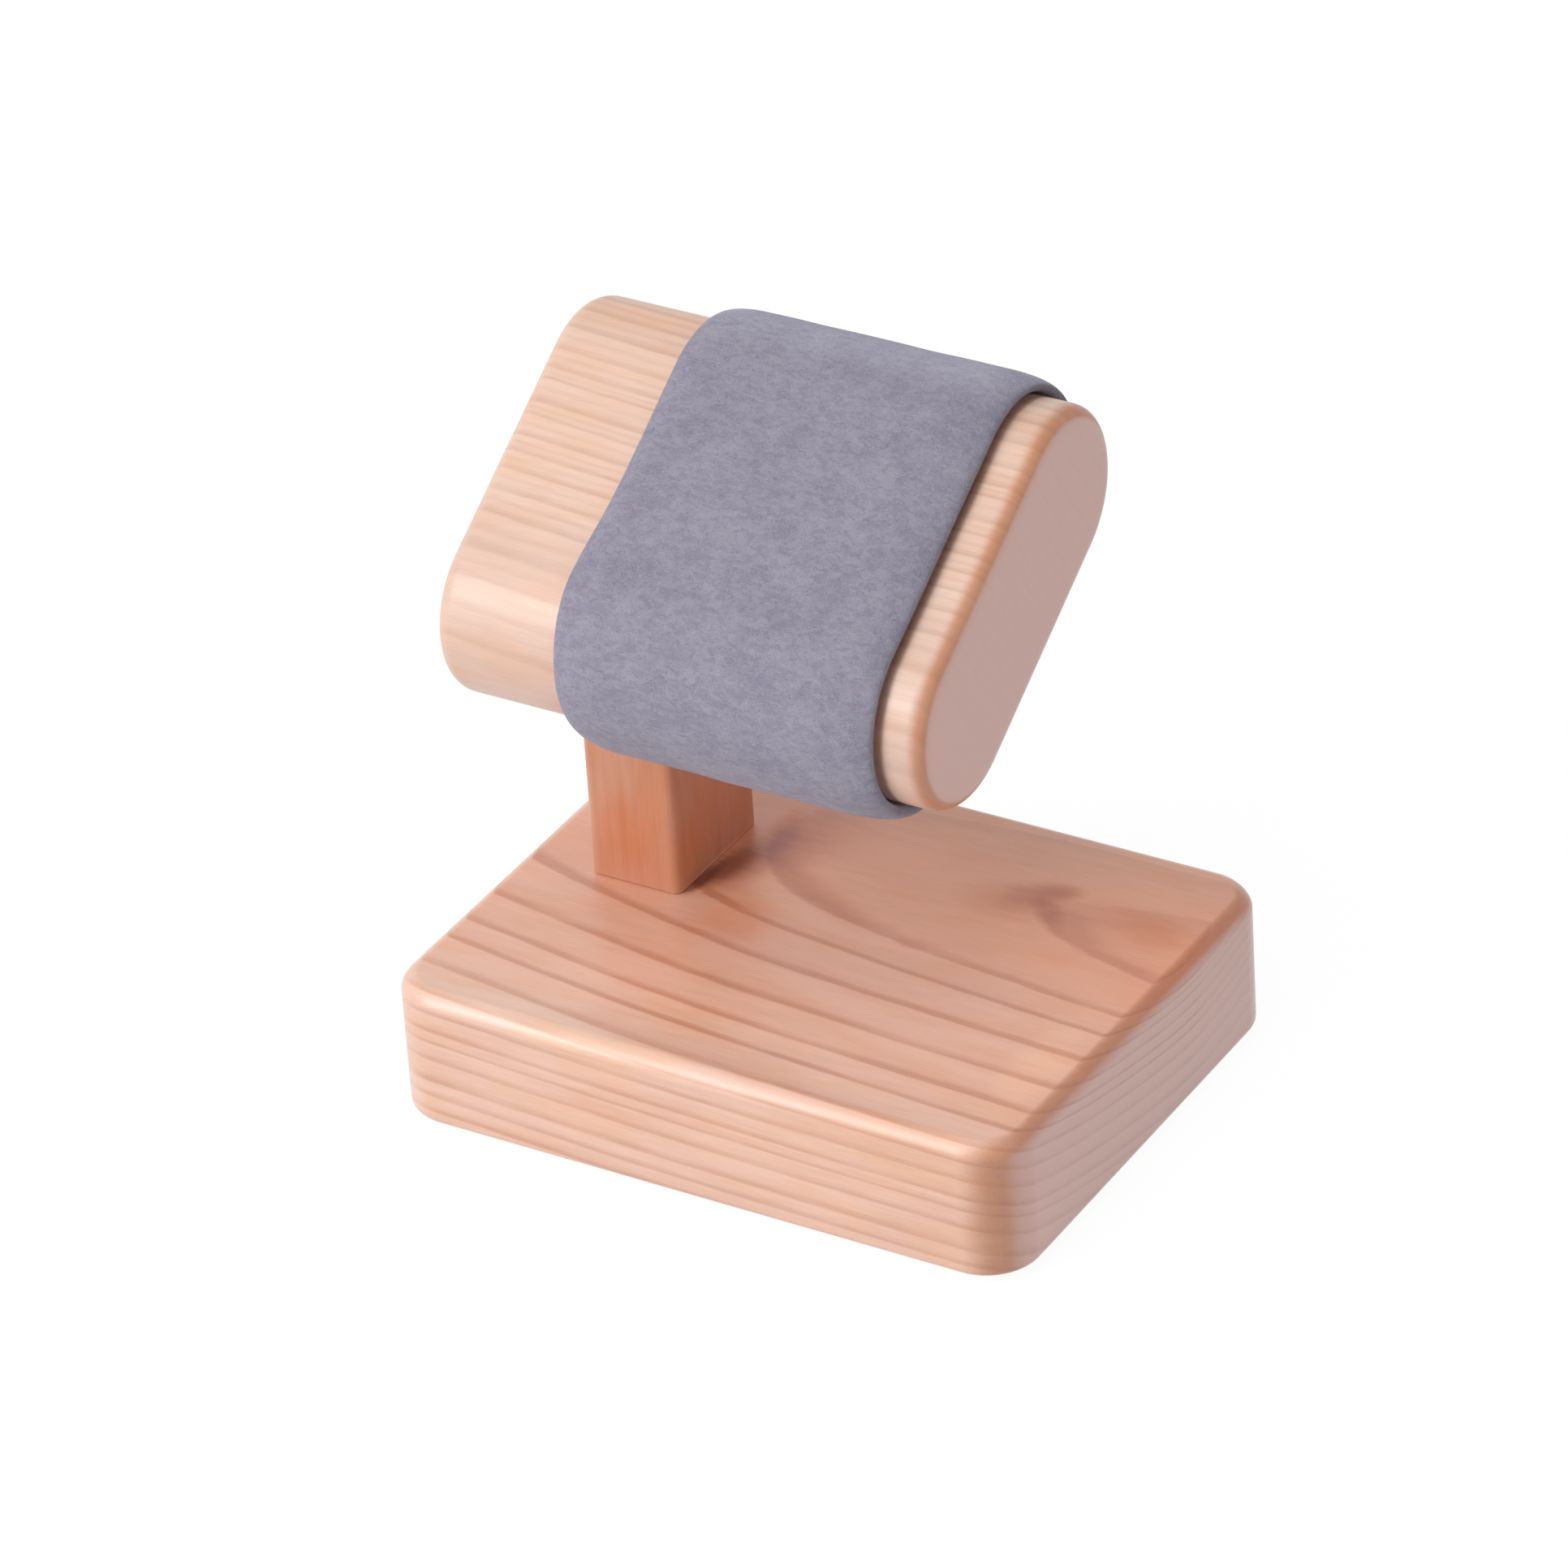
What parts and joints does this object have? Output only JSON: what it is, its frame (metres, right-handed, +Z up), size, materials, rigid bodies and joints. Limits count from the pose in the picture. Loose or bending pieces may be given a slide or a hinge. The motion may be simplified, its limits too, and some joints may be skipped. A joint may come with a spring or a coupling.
{
  "type": "watch display stand",
  "caption": "Wooden stand that shows off a watch: a tilted rest bar with a padded fabric sleeve, carried by an offset post on a solid block base.",
  "frame": {"origin": "on the surface that the stand rests on, under the middle of the base, which is also the middle of its box", "axes": "+Z up; +X along the base's long front edge, from the post towards the rest bar's free end; +Y to the back, so the front, where the bar's face tilts down towards the viewer, is -Y"},
  "size_m": [0.1, 0.077, 0.109],
  "materials": {
    "cherry_base": "satin clear-coated cherry, long growth lines along X",
    "cherry_post": "satin clear-coated cherry, redder, upright grain",
    "cherry_bar": "satin clear-coated cherry, pale, fine lines along X",
    "sleeve_suede": "blue-grey microfibre suede with a short mottled nap",
    "wrap_foam": "soft cream padding foam",
    "dowel_beech": "plain fluted beech",
    "zinc_steel": "zinc plated",
    "pad_silicone": "matt silicone"
  },
  "bodies": {
    "root": {"base_block": "cherry_base", "post": "cherry_post", "rest_bar": "cherry_bar", "foam_wrap": "wrap_foam", "fabric_sleeve": "sleeve_suede", "base_screw": "zinc_steel", "screw_washer": "zinc_steel", "foot_dowel_front": "dowel_beech", "foot_dowel_back": "dowel_beech", "head_dowel_front": "dowel_beech", "head_dowel_back": "dowel_beech", "foot_pad_front_left": "pad_silicone", "foot_pad_back_left": "pad_silicone", "foot_pad_front_right": "pad_silicone", "foot_pad_back_right": "pad_silicone"}
  },
  "joints": []
}
